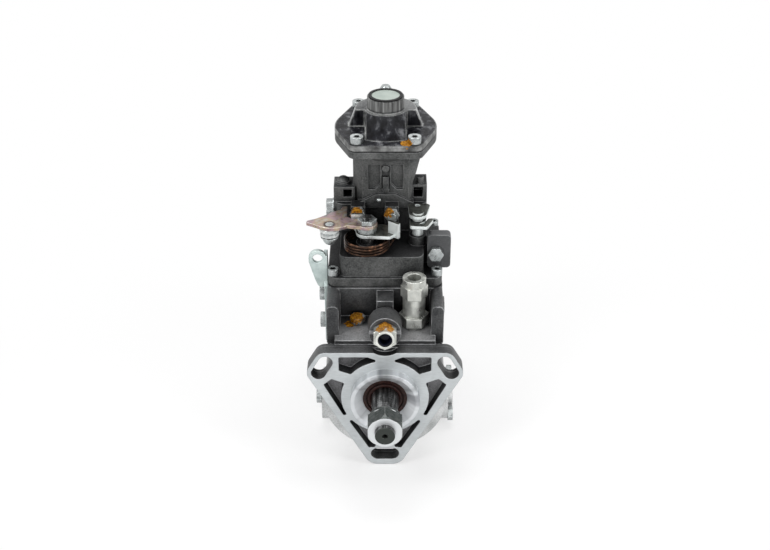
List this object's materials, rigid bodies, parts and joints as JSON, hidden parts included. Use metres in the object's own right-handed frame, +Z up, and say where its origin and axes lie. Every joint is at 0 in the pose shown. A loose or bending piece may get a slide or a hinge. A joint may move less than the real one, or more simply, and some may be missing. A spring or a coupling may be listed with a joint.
{
  "type": "diesel injection pump",
  "caption": "Rotary distributor diesel injection pump with slotted triangular flange, tapered shaft, governor levers and a boost compensator on top.",
  "frame": {"origin": "centre of the drive shaft axis at the machined face of the mounting flange", "axes": "+Z up towards the boost compensator, -Y out along the drive shaft, +X to the right seen from the drive end"},
  "size_m": [0.1128, 0.239, 0.2512],
  "materials": {
    "black_rubber": "black rubber",
    "boost_black": "glossy black coated dome",
    "bracket_zinc": "teal-grey zinc",
    "bronze": "bearing bronze",
    "cap_grey": "grey-green disc",
    "cast_alloy": "as-cast light alloy, machined faces bright",
    "dark_cast": "dark coated casting",
    "dark_steel": "phosphated steel",
    "gasket_grey": "fibre gasket",
    "head_iron": "machined iron",
    "seal_rubber": "red-brown seal rubber",
    "spring_copper": "oil-tempered wire, copper brown",
    "spring_steel": "spring wire",
    "steel": "turned steel",
    "union_silver": "pale zinc",
    "zinc_lever": "yellow and pink passivated zinc",
    "zinc_screw": "zinc plated"
  },
  "bodies": {
    "pump": {"pump_housing": "cast_alloy", "shaft_seal": "seal_rubber", "shaft_bush": "bronze", "supply_pump_ring": "steel", "supply_pump_cover": "steel", "governor_shaft": "steel", "lever_pivot_screws": "zinc_screw", "plunger_springs": "spring_steel", "timing_covers": "cast_alloy", "rubber_rings": "black_rubber", "timing_spring": "spring_steel", "distributor_head": "head_iron", "head_bolts": "zinc_screw", "head_fittings": "dark_steel", "stop_solenoid": "zinc_screw", "armature_spring": "spring_steel", "governor_cover": "cast_alloy", "cover_gasket": "gasket_grey", "socket_screws": "zinc_screw", "hex_bolts": "zinc_screw", "boost_cover": "boost_black", "boost_cap": "cap_grey", "boost_nipple": "zinc_screw", "boost_diaphragm": "black_rubber", "boost_spring": "spring_steel", "speed_stop_screws": "zinc_screw", "inlet_union": "union_silver", "return_union": "union_silver", "regulating_valve": "union_silver", "valve_spring": "spring_steel", "cable_bracket": "bracket_zinc", "support_bracket": "dark_cast", "throttle_return_spring": "spring_copper"},
    "drive_train": {"drive_shaft": "steel", "shaft_nut_and_key": "dark_steel", "supply_pump_rotor": "steel", "governor_drive_gear": "steel", "cam_plate": "steel", "distributor_plunger": "steel"},
    "governor_cage": {"governor_gear": "steel"},
    "flyweight_1": {"flyweight_1": "steel"},
    "flyweight_2": {"flyweight_2": "steel"},
    "flyweight_3": {"flyweight_3": "steel"},
    "flyweight_4": {"flyweight_4": "steel"},
    "sleeve": {"governor_sleeve": "steel"},
    "governor_linkage": {"governor_lever": "steel"},
    "spill_collar": {"spill_collar": "steel"},
    "timing_piston": {"timing_piston": "steel"},
    "roller_carrier": {"roller_ring": "steel", "rollers_and_timing_pin": "steel"},
    "throttle": {"control_shaft": "steel", "control_lever": "zinc_lever", "throttle_arm": "zinc_lever", "throttle_arm_fittings": "zinc_screw", "governor_spring": "spring_steel"},
    "stop_linkage": {"stop_lever": "zinc_lever"},
    "boost_plunger": {"boost_guide_pin": "steel", "boost_top_plate": "steel"},
    "stop_armature": {"stop_armature": "steel"},
    "valve_spool": {"valve_spool": "steel"}
  },
  "joints": [
    {"name": "drive_spin", "type": "hinge", "parent": "pump", "child": "drive_train", "pos_m": [0, 0, 0], "axis": [0, 1, 0], "continuous": true},
    {"name": "governor_spin", "type": "hinge", "parent": "pump", "child": "governor_cage", "pos_m": [0, 0, 0.0525], "axis": [0, 1, 0], "continuous": true},
    {"name": "sleeve_slide", "type": "slide", "parent": "pump", "child": "sleeve", "axis": [0, 1, 0], "range_m": [0, 0.0018]},
    {"name": "flyweight_1_swing", "type": "hinge", "parent": "governor_cage", "child": "flyweight_1", "pos_m": [0, 0.0585, 0.0677], "axis": [1, 0, 0], "range_deg": [0, 11]},
    {"name": "flyweight_2_swing", "type": "hinge", "parent": "governor_cage", "child": "flyweight_2", "pos_m": [0.0152, 0.0585, 0.0525], "axis": [0, 0, -1], "range_deg": [0, 11]},
    {"name": "flyweight_3_swing", "type": "hinge", "parent": "governor_cage", "child": "flyweight_3", "pos_m": [0, 0.0585, 0.0373], "axis": [-1, 0, 0], "range_deg": [0, 11]},
    {"name": "flyweight_4_swing", "type": "hinge", "parent": "governor_cage", "child": "flyweight_4", "pos_m": [-0.0152, 0.0585, 0.0525], "axis": [0, 0, 1], "range_deg": [0, 11]},
    {"name": "governor_lever_tilt", "type": "hinge", "parent": "pump", "child": "governor_linkage", "pos_m": [0, 0.08625, 0.024], "axis": [-1, 0, 0], "range_deg": [0, 3.63]},
    {"name": "collar_slide", "type": "slide", "parent": "pump", "child": "spill_collar", "axis": [0, -1, 0], "range_m": [0, 0.0009]},
    {"name": "timing_slide", "type": "slide", "parent": "pump", "child": "timing_piston", "axis": [1, 0, 0], "range_m": [0, 0.008], "stiffness_N_per_m": 2000, "springref_m": -0.002, "deforming": ["timing_spring"]},
    {"name": "roller_ring_turn", "type": "hinge", "parent": "pump", "child": "roller_carrier", "pos_m": [0, 0.065, 0], "axis": [0, -1, 0], "range_deg": [0, 10.6]},
    {"name": "throttle_turn", "type": "hinge", "parent": "pump", "child": "throttle", "pos_m": [-0.013, 0.06, 0.1], "axis": [0, 0, 1], "range_deg": [0, 38], "stiffness_Nm_per_rad": 0.2, "springref_deg": -17.19, "deforming": ["throttle_return_spring", "governor_spring"]},
    {"name": "stop_lever_turn", "type": "hinge", "parent": "pump", "child": "stop_linkage", "pos_m": [0.024, 0.07, 0.1], "axis": [0, 0, -1], "range_deg": [0, 30], "stiffness_Nm_per_rad": 0.1, "springref_deg": -17.19},
    {"name": "boost_slide", "type": "slide", "parent": "pump", "child": "boost_plunger", "axis": [0, 0, -1], "range_m": [0, 0.005], "stiffness_N_per_m": 3000, "springref_m": -0.002, "deforming": ["boost_spring", "boost_diaphragm"]},
    {"name": "armature_slide", "type": "slide", "parent": "pump", "child": "stop_armature", "axis": [0, 0, 1], "range_m": [0, 0.0012], "stiffness_N_per_m": 2000, "springref_m": -0.001, "deforming": ["armature_spring"]},
    {"name": "spool_slide", "type": "slide", "parent": "pump", "child": "valve_spool", "axis": [0, -0.9903, 0.1392], "range_m": [0, 0.0015], "stiffness_N_per_m": 2000, "springref_m": -0.001, "deforming": ["valve_spring"]}
  ],
  "couplings": [
    {"joint": "governor_spin", "follows": "drive_spin", "ratio": -1.3333},
    {"joint": "flyweight_1_swing", "follows": "sleeve_slide", "rad_per_m": 106.55},
    {"joint": "flyweight_2_swing", "follows": "sleeve_slide", "rad_per_m": 106.55},
    {"joint": "flyweight_3_swing", "follows": "sleeve_slide", "rad_per_m": 106.55},
    {"joint": "flyweight_4_swing", "follows": "sleeve_slide", "rad_per_m": 106.55},
    {"joint": "governor_lever_tilt", "follows": "sleeve_slide", "rad_per_m": 35.088},
    {"joint": "collar_slide", "follows": "sleeve_slide", "ratio": 0.49123},
    {"joint": "roller_ring_turn", "follows": "timing_slide", "rad_per_m": 22.988}
  ]
}
